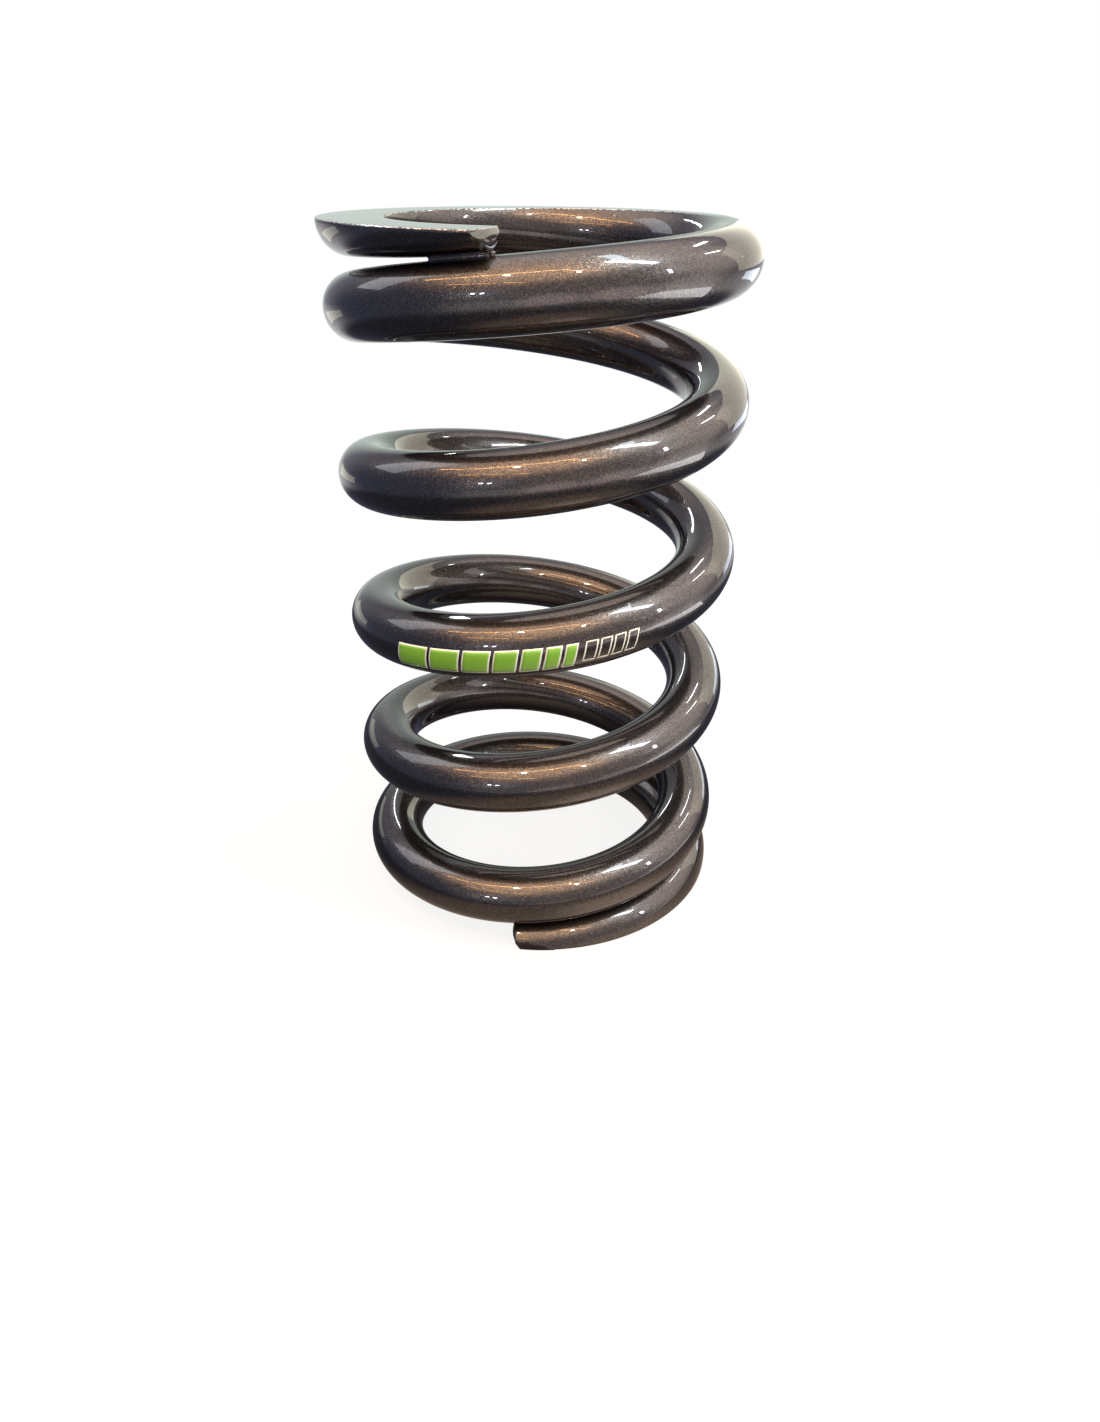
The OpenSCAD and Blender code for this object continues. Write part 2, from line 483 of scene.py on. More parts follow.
# The clear coat's orange peel
PEEL_STRENGTH = 0.04
PEEL_DEPTH = 0.05 * MM
# The dust: the share of its cells that stay bare, and the radius of its largest speck, in cells
BARE_CELLS = 0.7
SPECK_RADIUS = 0.085
# The worn edge: its height, how much of it is still whole, and how level the ground face is
WORN_EDGE_HEIGHT = 0.4 * MM
WHOLE_SHARE = 0.4
LEVEL_FACING = 0.985
# How dark the duller parts of the bottom tip's dark patch and of the ink are
TIP_PATCH_DULL_SHARE = 0.5
INK_SHADE = 0.86


def sprayed_metallic_lacquer(colours, sizes):
    """Bronze metallic lacquer: aluminium and mica flakes in a dark binder, under a deep clear coat.

    The flakes glitter one by one, each at its own tilt, and the coat above them is smooth and wet.
    """
    material, tree = new_material("sprayed_metallic_lacquer")
    place = add_node(tree, "ShaderNodeTexCoord").outputs["Object"]
    normal = add_node(tree, "ShaderNodeNewGeometry").outputs["Normal"]
    flakes = add_node(tree, "ShaderNodeTexVoronoi", {"Vector": place, "Scale": 1 / FLAKE_SIZE})
    shade = add_node(tree, "ShaderNodeSeparateColor", {"Color": flakes.outputs["Color"]})
    glint = add_node(tree, "ShaderNodeMath", {0: shade.outputs["Red"], 1: GLINT_POWER},
                     operation="POWER")
    colour = add_node(tree, "ShaderNodeMix", {
        "Factor": glint.outputs[0], "A": linear(colours.flake_dark),
        "B": linear(colours.flake_bright)}, data_type="RGBA")

    # Dust and small pits: a speck in some of the cells of a coarse pattern
    specks = add_node(tree, "ShaderNodeTexVoronoi", {"Vector": place, "Scale": 1 / SPECK_SPACING})
    speck_shade = add_node(tree, "ShaderNodeSeparateColor", {"Color": specks.outputs["Color"]})
    speck_size = add_node(tree, "ShaderNodeMapRange", {
        "Value": speck_shade.outputs["Green"], "From Min": BARE_CELLS, "To Max": SPECK_RADIUS})
    is_speck = add_node(tree, "ShaderNodeMath",
                        {0: specks.outputs["Distance"], 1: speck_size.outputs[0]},
                        operation="LESS_THAN")
    dusty = add_node(tree, "ShaderNodeMix", {
        "Factor": is_speck.outputs[0], "A": colour.outputs["Result"], "B": linear(colours.dust)},
        data_type="RGBA")

    # Wear: the lacquer is thin and broken along the top ground edge.
    chips = add_node(tree, "ShaderNodeTexNoise",
                     {"Vector": place, "Scale": 1 / CHIP_SIZE, "Detail": 3.0})
    height = add_node(tree, "ShaderNodeSeparateXYZ", {"Vector": place}).outputs["Z"]
    facing = add_node(tree, "ShaderNodeSeparateXYZ", {"Vector": normal}).outputs["Z"]
    on_edge = add_node(tree, "ShaderNodeMapRange", {
        "Value": height, "From Min": sizes.free_length - WORN_EDGE_HEIGHT,
        "From Max": sizes.free_length})
    off_flat = add_node(tree, "ShaderNodeMath", {0: facing, 1: LEVEL_FACING}, operation="LESS_THAN")
    edge_wear = add_node(tree, "ShaderNodeMath", {0: on_edge.outputs[0], 1: chips.outputs["Fac"]},
                         operation="MULTIPLY")
    broken = add_node(tree, "ShaderNodeMath", {0: edge_wear.outputs[0], 1: WHOLE_SHARE},
                      operation="GREATER_THAN")
    worn = add_node(tree, "ShaderNodeMath", {0: broken.outputs[0], 1: off_flat.outputs[0]},
                    operation="MULTIPLY")
    edged = add_node(tree, "ShaderNodeMix", {
        "Factor": worn.outputs[0], "A": dusty.outputs["Result"], "B": linear(colours.worn_edge)},
        data_type="RGBA")

    # Each flake lies at a small tilt of its own.
    tilt = add_node(tree, "ShaderNodeVectorMath", {0: flakes.outputs["Color"], 1: NO_TILT},
                    operation="SUBTRACT")
    small_tilt = add_node(tree, "ShaderNodeVectorMath", {0: tilt.outputs[0], "Scale": FLAKE_TILT},
                          operation="SCALE")
    tilted = add_node(tree, "ShaderNodeVectorMath", {0: normal, 1: small_tilt.outputs[0]},
                      operation="ADD")
    flake_normal = add_node(tree, "ShaderNodeVectorMath", {0: tilted.outputs[0]}, operation="NORMALIZE")

    # The clear coat has a faint orange peel.
    peel = add_node(tree, "ShaderNodeTexNoise",
                    {"Vector": place, "Scale": 1 / PEEL_SIZE, "Detail": 1.0})
    coat_normal = add_node(tree, "ShaderNodeBump", {
        "Height": peel.outputs["Fac"], "Strength": PEEL_STRENGTH, "Distance": PEEL_DEPTH})
    skin = add_node(tree, "ShaderNodeBsdfPrincipled", {
        "Base Color": edged.outputs["Result"], "Normal": flake_normal.outputs[0],
        "Coat Normal": coat_normal.outputs[0], "Metallic": 1.0, "Roughness": 0.34,
        "Specular Tint": linear(GLANCING_TINT), "Coat Weight": 1.0, "Coat Roughness": 0.02,
        "Coat IOR": 1.5})
    add_node(tree, "ShaderNodeOutputMaterial", {"Surface": skin.outputs[0]})
    return material


def mottled_finish(name, hex_colour, dull_share, grain, detail, surface):
    """A finish whose colour drifts between its full colour and a duller one, at its grain's size."""
    material, tree = new_material(name)
    place = add_node(tree, "ShaderNodeTexCoord").outputs["Object"]
    drift = add_node(tree, "ShaderNodeTexNoise",
                     {"Vector": place, "Scale": 1 / grain, "Detail": detail})
    colour = add_node(tree, "ShaderNodeMix", {
        "Factor": drift.outputs["Fac"], "A": linear(hex_colour, dull_share),
        "B": linear(hex_colour)}, data_type="RGBA")
    skin = add_node(tree, "ShaderNodeBsdfPrincipled",
                    {"Base Color": colour.outputs["Result"], **surface})
    add_node(tree, "ShaderNodeOutputMaterial", {"Surface": skin.outputs[0]})
    return material


def dark_patch_finish(colours):
    """A dark, rough and dull finish, whose colour drifts at random, for the patch low on the bottom
    tip.
    """
    return mottled_finish("scaled_steel", colours.tip_patch_colour, TIP_PATCH_DULL_SHARE, TIP_PATCH_GRAIN, 3.0,
                          {"Roughness": 0.6, "Specular IOR Level": 0.2})


def screen_printed_ink(name, hex_colour):
    """Screen-printed ink under the clear coat: flat, dense colour with the coat's wet gloss."""
    return mottled_finish(name, hex_colour, INK_SHADE, INK_GRAIN, 2.0,
                          {"Roughness": 0.5, "Coat Weight": 1.0, "Coat Roughness": 0.03})


# The lacquer in the gap under the top tip: the turns that it covers, how far its sides draw in and
# its ends sink into the wire, how far its open end curves back in turns, and the profile of a side,
# as shares of its height and of the hollow
WEB_TURNS = 0.05
WEB_STEPS = 24
WEB_HALF_WIDTH = 1.1 * MM
WEB_HOLLOW = 0.3 * MM
WEB_SINK = 0.08 * MM
WEB_ROUND_TURNS = 0.0016
WEB_PROFILE = ((0, 0), (0.25, 0.5), (0.5, 0.7), (0.75, 0.5), (1, 0))

# The bead of lacquer at the tip: how far out it hangs, and as shares of its radius, how far it
# stands ahead of the cut, how high its middle is, how much it swells and its half height
BEAD_RADIUS = 0.55 * MM
BEAD_RINGS = 10
BEAD_OUT = 1.0 * MM
BEAD_AHEAD = 0.5
BEAD_LIFT = 0.55
BEAD_SWELL = 0.18
BEAD_HALF_HEIGHT = 0.8

# The dark patch low on the bottom tip: where it starts along the wire, its length and its outline
TIP_PATCH_START = 0.7 * MM
TIP_PATCH_LENGTH = 6.6 * MM
TIP_PATCH_HEIGHT = 1.35 * MM
TIP_PATCH_FOOT = 0.12 * MM
TIP_PATCH_RAGGED = 0.12 * MM
TIP_PATCH_WAVE = 2.3 * MM
TIP_PATCH_RIPPLE = 0.9 * MM
TIP_PATCH_RIPPLE_SHARE = 0.6
TIP_PATCH_PROUD = 0.02 * MM
TIP_PATCH_COLUMNS = 40
TIP_PATCH_ROWS = 4


class SPRING_OT_wire(bpy.types.Operator):
    """Winds the wire, grinds its ends and sprays it"""

    bl_idname = "spring.wire"
    bl_label = "Wound Wire"

    def execute(self, context):
        path = WirePath(context.scene.spring_sizes)
        rings = [wire_ring(path, n) for n in ring_places(path)]
        count = len(rings[0])
        points = [point for ring in rings for point in ring]
        faces = []
        for k in range(len(rings) - 1):
            for i in range(count):
                a, b = k * count + i, k * count + (i + 1) % count
                faces.append((a, a + count, b + count, b))
        last = (len(rings) - 1) * count
        close_end(points, faces, list(range(count)), True)
        close_end(points, faces, list(range(last, last + count)), False)
        lacquer = sprayed_metallic_lacquer(context.scene.spring_colours, path.sizes)
        piece = new_piece("wound_wire", points, faces, [lacquer])
        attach(piece, BODY)
        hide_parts(NODE)
        self.fill_gap(path, lacquer)
        self.add_tip_patch(path, context.scene.spring_colours)
        return {"FINISHED"}

    def fill_gap(self, path, lacquer):
        """Lacquer that ran into the narrow gap under the top tip, and its bead at the tip."""
        points, faces = [], []
        self.add_web(path, points, faces)
        self.add_bead(path, points, faces)
        piece = new_piece("lacquer_web", points, faces, [lacquer])
        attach(piece, BODY)

    def add_web(self, path, points, faces):
        """A wall from the next turn up to the tip, with hollow sides and a hollow open end."""
        for k in range(WEB_STEPS + 1):
            away = WEB_TURNS * k / WEB_STEPS
            n = path.turns - away
            for side in (1, -1):
                for level, inset in WEB_PROFILE:
                    level = level if side > 0 else 1 - level
                    rho = side * (WEB_HALF_WIDTH - inset * WEB_HOLLOW)
                    back = WEB_ROUND_TURNS * (1 - (2 * level - 1) ** 2) if k == WEB_STEPS else 0
                    under = path.place(n + back)[2] - path.half_height(rho)
                    over = path.place(n + back - 1)[2] + path.half_height(rho)
                    z = over - WEB_SINK + (under - over + 2 * WEB_SINK) * level
                    points.append(path.around_axis(rho, path.angle(n + back), z))
        count = 2 * len(WEB_PROFILE)
        for k in range(WEB_STEPS):
            for i in range(count):
                a, b = k * count + i, k * count + (i + 1) % count
                faces.append((a, b, b + count, a + count))
        faces.append(tuple(reversed(range(count))))
        faces.append(tuple(range(WEB_STEPS * count, (WEB_STEPS + 1) * count)))

    def add_bead(self, path, points, faces):
        """A bead that hangs on the lower edge of the cut face."""
        n = path.turns + BEAD_RADIUS * BEAD_AHEAD / path.length_per_turn
        low = path.place(n - 1)[2] + path.half_height(BEAD_OUT)
        centre = Vector(path.around_axis(BEAD_OUT, path.angle(n), low + BEAD_RADIUS * BEAD_LIFT))
        first, around = len(points), 2 * BEAD_RINGS
        for j in range(BEAD_RINGS + 1):
            theta = math.pi * j / BEAD_RINGS
            bulge = BEAD_RADIUS * (1 + BEAD_SWELL * math.sin(3 * theta))
            for i in range(around if 0 < j < BEAD_RINGS else 1):
                phi = math.pi * i / BEAD_RINGS
                points.append(tuple(centre + Vector((
                    bulge * math.sin(theta) * math.cos(phi), bulge * math.sin(theta) * math.sin(phi),
                    BEAD_RADIUS * BEAD_HALF_HEIGHT * math.cos(theta)))))
        for i in range(around):
            faces.append((first, first + 1 + i, first + 1 + (i + 1) % around))
        for j in range(BEAD_RINGS - 2):
            for i in range(around):
                a = first + 1 + j * around + i
                b = first + 1 + j * around + (i + 1) % around
                faces.append((a, a + around, b + around, b))
        base, end = first + 1 + (BEAD_RINGS - 2) * around, len(points) - 1
        for i in range(around):
            faces.append((base + i, end, base + (i + 1) % around))

    def add_tip_patch(self, path, colours):
        """A ragged dark patch at the bottom tip, low on the outer side, just above its ground face."""
        points, faces = [], []
        for proud in (TIP_PATCH_PROUD, -TIP_PATCH_PROUD):
            for i in range(TIP_PATCH_COLUMNS + 1):
                s = TIP_PATCH_START + TIP_PATCH_LENGTH * i / TIP_PATCH_COLUMNS
                n = s / path.length_per_turn
                climb, z = path.place(n)[1:]
                ground = path.sizes.bevel_fall * max(0, path.sizes.bottom_bevel_run - s)
                low = ground + TIP_PATCH_FOOT
                ripple = TIP_PATCH_RIPPLE_SHARE * math.sin(TURN * s / TIP_PATCH_RIPPLE + 1)
                wave = math.sin(TURN * s / TIP_PATCH_WAVE) + ripple
                high = TIP_PATCH_HEIGHT * (1 - (i / TIP_PATCH_COLUMNS) ** 3) + TIP_PATCH_RAGGED * wave
                high = max(high, low + TIP_PATCH_FOOT)
                for j in range(TIP_PATCH_ROWS + 1):
                    rise = (low + (high - low) * j / TIP_PATCH_ROWS - z) / math.cos(climb)
                    points.append(path.surface(n, math.asin(min(rise / path.skin_r, 1)), proud))
        row, layer = TIP_PATCH_ROWS + 1, (TIP_PATCH_ROWS + 1) * (TIP_PATCH_COLUMNS + 1)
        for i in range(TIP_PATCH_COLUMNS):
            for j in range(TIP_PATCH_ROWS):
                a, b = i * row + j, (i + 1) * row + j
                faces.append((a, b, b + 1, a + 1))
                faces.append((a + layer, a + 1 + layer, b + 1 + layer, b + layer))
            for a, b in ((i * row, (i + 1) * row), ((i + 1) * row + TIP_PATCH_ROWS, i * row + TIP_PATCH_ROWS)):
                faces.append((b, a, a + layer, b + layer))
        for j in range(TIP_PATCH_ROWS):
            for a, b in ((j + 1, j), (TIP_PATCH_COLUMNS * row + j, TIP_PATCH_COLUMNS * row + j + 1)):
                faces.append((b, a, a + layer, b + layer))
        piece = new_piece("chipped_patch", points, faces, [dark_patch_finish(colours)])
        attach(piece, BODY)


# The print lies on the outside of the third turn from the top: a row of blocks, then a row of open
# frames, which are the ticks. Their places are lengths along the wire's outermost line from the left
# end of the print, and round the wire from its top edge. The widths are in millimetres.
PRINT_TURN = 2.9086
PRINT_TOP = math.radians(14)
PRINT_HEIGHT = 4.6 * MM
PRINT_SLANT = 0.3
PRINT_OUTLINE = 0.26 * MM
PRINT_PROUD = 0.012 * MM
PRINT_GRID = 0.45 * MM
BLOCK_WIDTHS = (6.6, 5.8, 5.0, 4.2, 3.4, 2.7, 2.1)
BLOCK_GAP = 0.55 * MM
TICK_START = 34.3 * MM
TICK_WIDTHS = (2.2, 2.0, 2.0, 2.0)
TICK_GAP = 0.45 * MM
TICK_HEIGHT = 3.8 * MM
TICK_OUTLINE = 0.24 * MM


def ink_patch(path, points, faces, start, width, drop, height, proud):
    """A slanted patch of ink on the wire: a closed film with its underside just inside the skin."""
    across = max(2, round(width / PRINT_GRID))
    down = max(2, round(height / PRINT_GRID))
    outer_length = TURN * (path.coil_r + path.wire_r)
    first = len(points)
    for offset in (proud, -PRINT_PROUD):
        for j in range(down + 1):
            below = drop + height * j / down
            for i in range(across + 1):
                along = start + width * i / across - PRINT_SLANT * below
                n = PRINT_TURN + along / outer_length
                points.append(path.surface(n, PRINT_TOP - below / path.wire_r, offset))
    row, layer = across + 1, (across + 1) * (down + 1)

    def at(i, j, k):
        return first + k * layer + j * row + i

    for j in range(down):
        for i in range(across):
            faces.append((at(i, j, 0), at(i, j + 1, 0), at(i + 1, j + 1, 0), at(i + 1, j, 0)))
            faces.append((at(i, j, 1), at(i + 1, j, 1), at(i + 1, j + 1, 1), at(i, j + 1, 1)))
    for i in range(across):
        faces.append((at(i, 0, 0), at(i + 1, 0, 0), at(i + 1, 0, 1), at(i, 0, 1)))
        faces.append((at(i, down, 0), at(i, down, 1), at(i + 1, down, 1), at(i + 1, down, 0)))
    for j in range(down):
        faces.append((at(0, j, 0), at(0, j, 1), at(0, j + 1, 1), at(0, j + 1, 0)))
        faces.append((at(across, j, 0), at(across, j + 1, 0), at(across, j + 1, 1), at(across, j, 1)))


class SPRING_OT_print(bpy.types.Operator):
    """Prints a generic row of slanted blocks and open frames on one turn"""

    bl_idname = "spring.side_print"
    bl_label = "Side Print"

    def execute(self, context):
        path = WirePath(context.scene.spring_sizes)
        colours = context.scene.spring_colours
        outline, fill = ([], []), ([], [])
        start = 0.0
        for width in BLOCK_WIDTHS:
            width *= MM
            ink_patch(path, *outline, start, width, 0, PRINT_HEIGHT, PRINT_PROUD)
            ink_patch(path, *fill, start + PRINT_OUTLINE, width - 2 * PRINT_OUTLINE, PRINT_OUTLINE,
                      PRINT_HEIGHT - 2 * PRINT_OUTLINE, 2 * PRINT_PROUD)
            start += width + BLOCK_GAP
        start = TICK_START
        for width in TICK_WIDTHS:
            width *= MM
            self.frame(path, outline, start, width)
            start += width + TICK_GAP
        self.finish_print("print_outline", outline, "screen_printed_ink_pale", colours.print_pale)
        self.finish_print("print_fill", fill, "screen_printed_ink_green", colours.print_green)
        return {"FINISHED"}

    def frame(self, path, outline, start, width):
        """A slanted open frame of pale ink, from four strips."""
        line, inner = TICK_OUTLINE, TICK_HEIGHT - 2 * TICK_OUTLINE
        for along, length, drop, height in (
                (start, width, 0, line), (start, width, TICK_HEIGHT - line, line),
                (start, line, line, inner), (start + width - line, line, line, inner)):
            ink_patch(path, *outline, along, length, drop, height, PRINT_PROUD)

    def finish_print(self, name, parts, material_name, hex_colour):
        """One colour of the print, as a piece of its own."""
        piece = new_piece(name, *parts, [screen_printed_ink(material_name, hex_colour)])
        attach(piece, BODY)


# Each lamp: name, azimuth from the camera's side towards +X, elevation, width and height as seen
# from the middle of the spring, roll, all in degrees, then its distance in metres, its brightness
# and its colour.
LAMPS = (
    ("warm_tube_1", -82, 49.5, 11, 0.9, 34, 1.6, 30, "FFB361"),
    ("warm_tube_2", -66, 56, 10, 0.8, 30, 1.6, 32, "FFB361"),
    ("warm_tube_3", -51, 61, 11, 0.7, 20, 1.6, 36, "FFB361"),
    ("warm_tube_4", -28, 65.5, 13, 0.7, 10, 1.6, 38, "FFBE78"),
    ("warm_tube_5", 0, 66.5, 13, 0.7, -6, 1.6, 40, "FFBE78"),
    ("warm_tube_6", 18, 60.5, 8, 0.7, -24, 1.6, 36, "FFBE78"),
    ("warm_tube_7", 30, 53.5, 7, 0.7, -34, 1.6, 26, "FFBE78"),
    ("warm_tube_low_1", -54, 40, 11, 0.6, 8, 1.6, 24, "FFB361"),
    ("warm_tube_low_2", -38, 41.5, 11, 0.6, 2, 1.6, 24, "FFB361"),
    ("warm_tube_low_3", -20, 40, 10, 0.6, -14, 1.6, 24, "FFB361"),
    ("left_spot", -36, 60, 3.4, 2.2, -30, 1.6, 100, "FFEBD6"),
    ("right_spot", 19, 56, 1.8, 3.4, 0, 1.6, 100, "FFEBD6"),
    ("cool_tube", 68, 60, 5, 25, 8, 1.6, 30, "E6F6FF"),
    ("cool_tube_far", 100, 74, 22, 5, 20, 1.6, 8, "DDF2FF"),
    ("cool_spot", 67, 26, 2.2, 9, -4, 1.6, 40, "EAF2FF"),
    ("front_spot_left", -36, 17, 2.2, 2.6, 0, 1.6, 55, "EFEFFF"),
    ("front_spot_right", -31, 16.5, 2.2, 2.6, 0, 1.6, 55, "EFEFFF"),
    ("left_window", -114, 39, 22, 32, 10, 1.6, 1.7, "E8EEF8"),
    ("right_wall", 141, 16, 54, 36, 0, 1.6, 1.35, "EAE4C8"),
    ("low_window", 134, -3.5, 25, 8, 0, 0.45, 2.4, "E6F2FF"),
    ("low_window_left", -132, -5, 26, 8, 0, 0.35, 0.85, "DEDCC0"),
    ("back_tube", 137, 45, 11, 1.8, -35, 1.6, 26, "F4FAFF"),
    ("back_tube_low", 112, 37, 10, 1.6, -30, 1.6, 24, "F4FAFF"),
    ("left_tube", -163, 28, 2.5, 18, -24, 1.6, 14, "F4FAFF"),
)
LAMP_AIM = Vector((0, 0, 0.063))
# A card that lies beside the spring and shines up at it: its place, then its width, its depth, its
# brightness and its colour
CARD_PLACE = Vector((0.25, -0.07, 0.004))
CARD = (0.15, 0.2, 4.0, "F2F2F4")
# Watts that make a square metre of lamp as bright as an emitter of strength 1
WATTS_PER_AREA = 4


def direction(azimuth, elevation):
    """A direction from the spring, by azimuth from the camera's side and elevation, in degrees."""
    azimuth, elevation = math.radians(azimuth), math.radians(elevation)
    return (math.cos(elevation) * math.sin(azimuth), -math.cos(elevation) * math.cos(azimuth),
            math.sin(elevation))


def aim_lamp(name, azimuth, elevation, width, height, roll, distance, brightness, hex_colour):
    """An area lamp at a direction from the spring, of the size at which the spring sees it."""
    way = Vector(direction(azimuth, elevation))
    side = Vector((0, 0, 1)).cross(way).normalized()
    axes = Matrix((side, way.cross(side), way)).transposed()
    size = [2 * distance * math.tan(math.radians(angle) / 2) for angle in (width, height)]
    place_lamp(name, LAMP_AIM + way * distance, axes @ Matrix.Rotation(math.radians(roll), 3, "Z"),
               *size, brightness, hex_colour)


def place_lamp(name, position, axes, width, height, brightness, hex_colour):
    """An area lamp whose surface is as bright as the brightness says, hidden from the camera."""
    data = bpy.data.lights.new(name, "AREA")
    data.shape = "RECTANGLE"
    data.size, data.size_y = width, height
    data.energy = WATTS_PER_AREA * width * height * brightness
    data.color = linear(hex_colour)[:3]
    lamp = bpy.data.objects.new(name, data)
    lamp.matrix_world = Matrix.Translation(position) @ axes.to_4x4()
    lamp.visible_camera = False
    bpy.context.scene.collection.objects.link(lamp)


# The photograph's height in pixels, and the height of the sensor that it fills, in millimetres
PHOTO_HEIGHT = 1422
SENSOR = 36
NEAREST_SEEN = 10 * MM

# The floor, and the share of its white that the lamps give, which leaves a soft shadow
FLOOR_RADIUS = 0.9
FLOOR_SIDES = 64
FLOOR_LIT_SHARE = 0.11
WHITE = "FFFFFF"
# Painted reflection, which only metal sees in the floor's place: a dark mat that paints shade into
# the undersides, and on it a glowing pale sheet and a paler glowing patch beside the bottom tip that
# paint light onto the lower turns and the tip. Each starts to fade at its radius from its middle, and
# ends at its fade.
MIRRORED_SHADE_TONE = "22283A"
MAT_RADIUS = 0.19
MAT_FADE = 0.3
SHEET_MIDDLE = (0.02, -0.055, 0)
SHEET_RADIUS = 0.04
SHEET_FADE = 0.085
SHEET_GLOW = ("FFE2CE", 0.54)
PATCH_MIDDLE = (0.026, -0.044, 0)
PATCH_RADIUS = 0.008
PATCH_FADE = 0.03
PATCH_GLOW = ("FFE6D2", 1.3)
# How much of the white backdrop metal mirrors
BACKDROP_IN_METAL = 0.04


def place_camera(stage):
    """The camera that the photograph was taken with, as near as its outline tells."""
    forward = Vector((math.sin(stage.turn) * math.cos(stage.tilt),
                      math.cos(stage.turn) * math.cos(stage.tilt), -math.sin(stage.tilt)))
    right = forward.cross(Vector((0, 0, 1))).normalized()
    down = forward.cross(right)
    c, s = math.cos(stage.roll), math.sin(stage.roll)
    axes = Matrix((c * right + s * down, s * right - c * down, -forward)).transposed()
    data = bpy.data.cameras.new("camera")
    data.sensor_fit = "VERTICAL"
    data.sensor_height = SENSOR
    data.lens = stage.focal_pixels / PHOTO_HEIGHT * SENSOR
    data.shift_y = (stage.axis_row - PHOTO_HEIGHT / 2) / PHOTO_HEIGHT
    data.clip_start = NEAREST_SEEN
    data.dof.use_dof = False
    camera = bpy.data.objects.new("camera", data)
    camera.matrix_world = (Matrix.Translation((0, -stage.distance, stage.height))
                           @ axes.to_4x4())
    bpy.context.scene.collection.objects.link(camera)
    bpy.context.scene.camera = camera


def seen_share(tree):
    """1 for what the camera sees straight or through glass, and less for what metal mirrors."""
    rays = add_node(tree, "ShaderNodeLightPath")
    mirrored = add_node(tree, "ShaderNodeMath",
                        {0: rays.outputs["Is Glossy Ray"], 1: BACKDROP_IN_METAL},
                        operation="MULTIPLY")
    through = add_node(tree, "ShaderNodeMath",
                       {0: mirrored.outputs[0], 1: rays.outputs["Is Transmission Ray"]},
                       operation="ADD")
    share = add_node(tree, "ShaderNodeMath",
                     {0: through.outputs[0], 1: rays.outputs["Is Camera Ray"]}, operation="ADD")
    return share.outputs[0]


def pale_floor(colours):
    """White board, which keeps a soft shadow near the spring and is as white as the room far off.

    Metal sees a painted reflection in its place: a glowing pale sheet on a dark mat, with a paler
    glowing patch beside the bottom tip, which paint light and shade onto the spring, and past the
    mat's edge it sees the room.
    """
    material, tree = new_material("matt_painted_board")
    place = add_node(tree, "ShaderNodeTexCoord").outputs["Object"]
    distance = add_node(tree, "ShaderNodeVectorMath", {0: place}, operation="LENGTH")
    edge = add_node(tree, "ShaderNodeMapRange", {
        "Value": distance.outputs["Value"], "From Min": MAT_RADIUS, "From Max": MAT_FADE},
        interpolation_type="SMOOTHSTEP")
    board = add_node(tree, "ShaderNodeBsdfDiffuse", {"Color": linear(colours.floor, FLOOR_LIT_SHARE)})
    glow = add_node(tree, "ShaderNodeEmission",
                    {"Color": linear(colours.floor, 1 - FLOOR_LIT_SHARE), "Strength": 1.0})
    near = add_node(tree, "ShaderNodeAddShader", {0: board.outputs[0], 1: glow.outputs[0]})
    far = add_node(tree, "ShaderNodeEmission", {"Color": linear(WHITE), "Strength": 1.0})
    seen = add_node(tree, "ShaderNodeMixShader",
                    {0: edge.outputs[0], 1: near.outputs[0], 2: far.outputs[0]})
    # Painted shade: a dark mat that only metal mirrors, which darkens the undersides of the turns
    mat = add_node(tree, "ShaderNodeBsdfDiffuse", {"Color": linear(MIRRORED_SHADE_TONE)})
    sheen = add_node(tree, "ShaderNodeEmission", {"Strength": seen_share(tree)})
    below = add_node(tree, "ShaderNodeAddShader", {0: mat.outputs[0], 1: sheen.outputs[0]})
    # Painted light: a glowing sheet and patch that only metal mirrors, on the lower turns and the tip
    for middle, radius, fade, (hex_colour, brightness) in (
            (SHEET_MIDDLE, SHEET_RADIUS, SHEET_FADE, SHEET_GLOW),
            (PATCH_MIDDLE, PATCH_RADIUS, PATCH_FADE, PATCH_GLOW)):
        away = add_node(tree, "ShaderNodeVectorMath", {0: place, 1: middle}, operation="DISTANCE")
        rim = add_node(tree, "ShaderNodeMapRange", {
            "Value": away.outputs["Value"], "From Min": radius, "From Max": fade},
            interpolation_type="SMOOTHSTEP")
        pale = add_node(tree, "ShaderNodeEmission",
                        {"Color": linear(hex_colour), "Strength": brightness})
        below = add_node(tree, "ShaderNodeMixShader",
                         {0: rim.outputs[0], 1: pale.outputs[0], 2: below.outputs[0]})
    past = add_node(tree, "ShaderNodeBsdfTransparent")
    mirrored = add_node(tree, "ShaderNodeMixShader",
                        {0: edge.outputs[0], 1: below.outputs[0], 2: past.outputs[0]})
    whole = add_node(tree, "ShaderNodeMixShader",
                     {0: add_node(tree, "ShaderNodeLightPath").outputs["Is Camera Ray"],
                      1: mirrored.outputs[0], 2: seen.outputs[0]})
    add_node(tree, "ShaderNodeOutputMaterial", {"Surface": whole.outputs[0]})
    return material


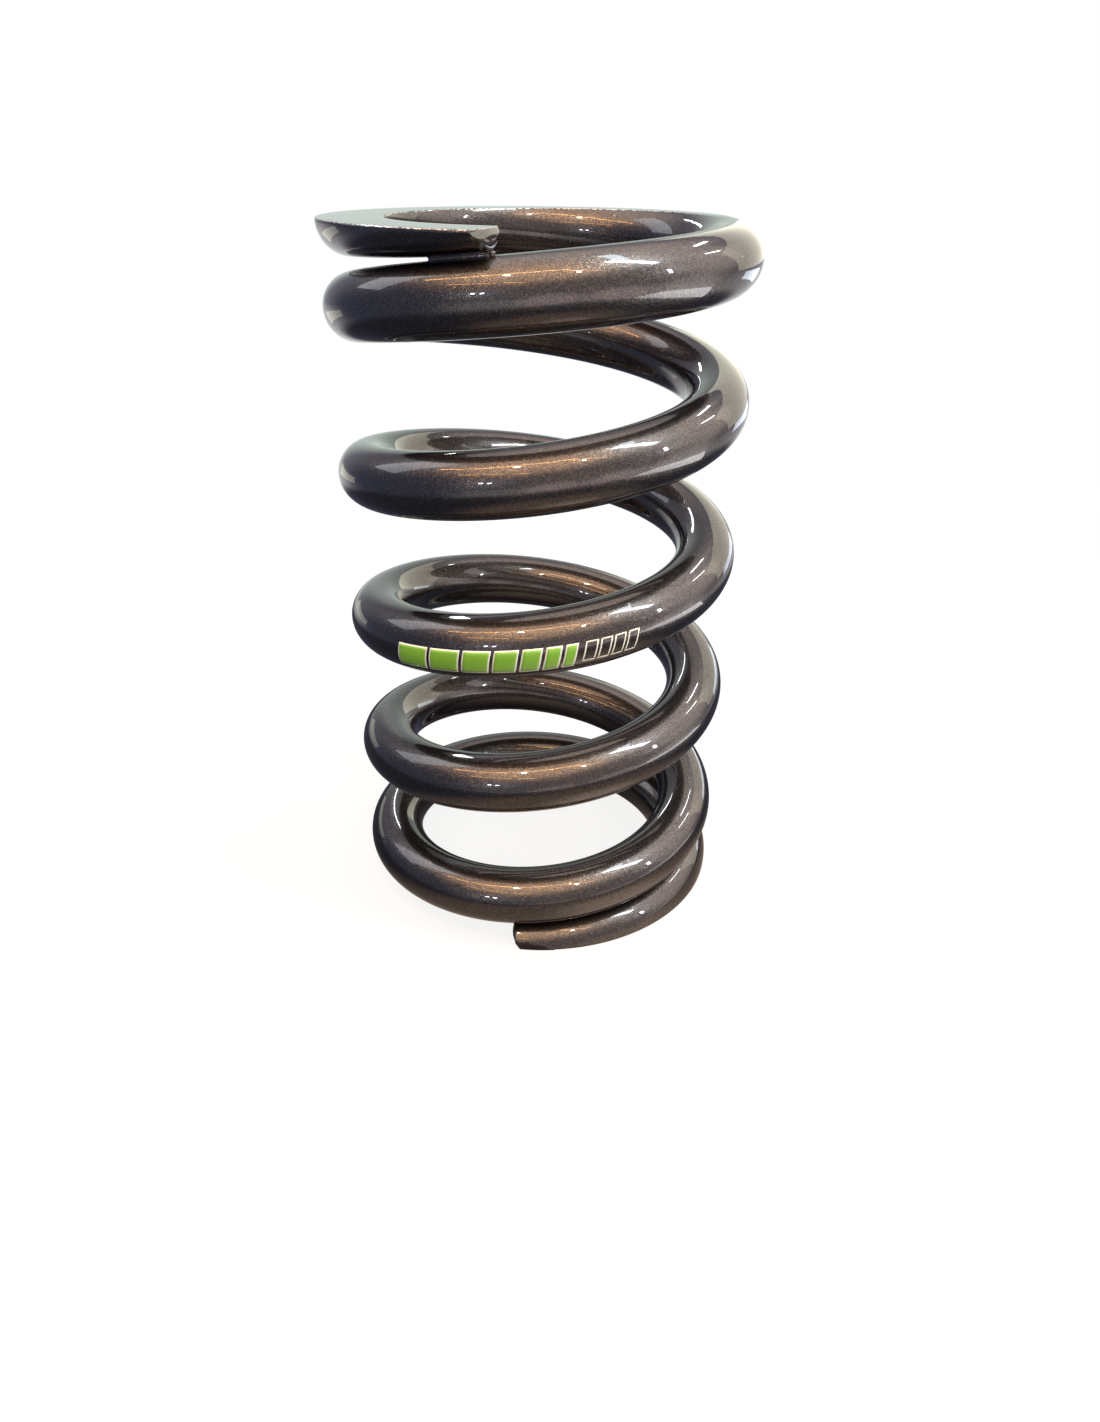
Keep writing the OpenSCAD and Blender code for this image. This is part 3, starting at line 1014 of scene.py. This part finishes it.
# The room's soft light: its own colour and brightness, and then for each glow the azimuth and the
# elevation of its middle, the angle from it at which it starts to fade and ends, all in degrees, its
# brightness and its colour
ROOM_TONE = ("E4E6F6", 0.5)
ROOM_GLOWS = (
    ("floor_far_off", 0, -90, 80, 88, 1.0, "F2F0F2"),
    ("front_room", 55, 10, 30, 76, 0.72, "F8EAE8"),
    ("table_edge", 5, -14, 5, 20, 2.0, "FAE6E6"),
    ("table_edge_middle", 40, -14, 6, 22, 2.1, "FAE8E8"),
    ("table_edge_right", 80, -13, 8, 26, 2.0, "F2ECEC"),
    ("right_room", 96, 30, 8, 34, 1.9, "FFF2EA"),
    ("ceiling", 0, 90, 20, 60, 2.3, "F8E6DC"),
    ("warm_bounce", -20, 65, 4, 40, 2.8, "FFD8B8"),
    ("left_dusk", -88, -4, 26, 56, 0.45, "AEB9E0"),
    ("far_wall", 180, 4, 10, 32, 0.92, "E6F2EA"),
)


def studio_world():
    """A room of soft glows, and white wherever the camera looks past the floor."""
    world = bpy.data.worlds.new("studio")
    world.use_nodes = True
    tree = world.node_tree
    tree.nodes.clear()
    way = add_node(tree, "ShaderNodeTexCoord").outputs["Generated"]
    light = linear(*ROOM_TONE)
    for name, azimuth, elevation, inner, outer, brightness, hex_colour in ROOM_GLOWS:
        toward = add_node(tree, "ShaderNodeVectorMath", {0: way, 1: direction(azimuth, elevation)},
                          operation="DOT_PRODUCT", label=name)
        fade = add_node(tree, "ShaderNodeMapRange", {
            "Value": toward.outputs["Value"], "From Min": math.cos(math.radians(outer)),
            "From Max": math.cos(math.radians(inner))}, interpolation_type="SMOOTHSTEP")
        glow = add_node(tree, "ShaderNodeMix", {
            "Factor": fade.outputs[0], "A": light, "B": linear(hex_colour, brightness)},
            data_type="RGBA")
        light = glow.outputs["Result"]
    room = add_node(tree, "ShaderNodeBackground", {"Color": light})
    white = add_node(tree, "ShaderNodeBackground", {"Color": linear(WHITE), "Strength": 1.0})
    mix = add_node(tree, "ShaderNodeMixShader",
                   {0: add_node(tree, "ShaderNodeLightPath").outputs["Is Camera Ray"],
                    1: room.outputs[0], 2: white.outputs[0]})
    add_node(tree, "ShaderNodeOutputWorld", {"Surface": mix.outputs[0]})
    bpy.context.scene.world = world


class SPRING_OT_stage(bpy.types.Operator):
    """Sets up the camera, the pale floor, the lamps and the room"""

    bl_idname = "spring.stage"
    bl_label = "Stage"

    def execute(self, context):
        scene = context.scene
        place_camera(scene.spring_stage)
        corners = [TURN * k / FLOOR_SIDES for k in range(FLOOR_SIDES)]
        rim = [(FLOOR_RADIUS * math.cos(a), FLOOR_RADIUS * math.sin(a), 0) for a in corners]
        floor = new_piece("floor", rim, [tuple(range(FLOOR_SIDES))], [pale_floor(scene.spring_colours)])
        for lamp in LAMPS:
            aim_lamp(*lamp)
        upward = Matrix.Rotation(math.pi, 3, "X")
        place_lamp("side_card", CARD_PLACE, upward, *CARD)
        studio_world()
        scene.view_settings.view_transform = "Standard"
        return {"FINISHED"}


class SPRING_PT_panel(bpy.types.Panel):
    """Shows the spring's sizes, colours and stage, and buttons for the steps that build the spring and
    its stage
    """

    bl_label = "Shock Absorber Spring"
    bl_idname = "SPRING_PT_panel"
    bl_space_type = "VIEW_3D"
    bl_region_type = "UI"
    bl_category = "Spring"

    def draw(self, context):
        for group in (context.scene.spring_sizes, context.scene.spring_colours,
                      context.scene.spring_stage):
            box = self.layout.box()
            for name in group.__annotations__:
                box.prop(group, name)
        for operator in STEPS:
            self.layout.operator(operator.bl_idname)


STEPS = (SPRING_OT_wire, SPRING_OT_print, SPRING_OT_stage)
GROUPS = {
    "spring_sizes": SpringSizes,
    "spring_colours": SpringColours,
    "spring_stage": SpringStage,
}


def register():
    for group in GROUPS.values():
        bpy.utils.register_class(group)
    for name, group in GROUPS.items():
        setattr(bpy.types.Scene, name, PointerProperty(type=group))
    for item in STEPS + (SPRING_PT_panel,):
        bpy.utils.register_class(item)


def unregister():
    for item in reversed(STEPS + (SPRING_PT_panel,)):
        bpy.utils.unregister_class(item)
    for name, group in GROUPS.items():
        delattr(bpy.types.Scene, name)
        bpy.utils.unregister_class(group)


def main():
    register()
    bpy.ops.spring.stage()
    bpy.ops.spring.wire()
    bpy.ops.spring.side_print()


if __name__ == "__main__":
    main()
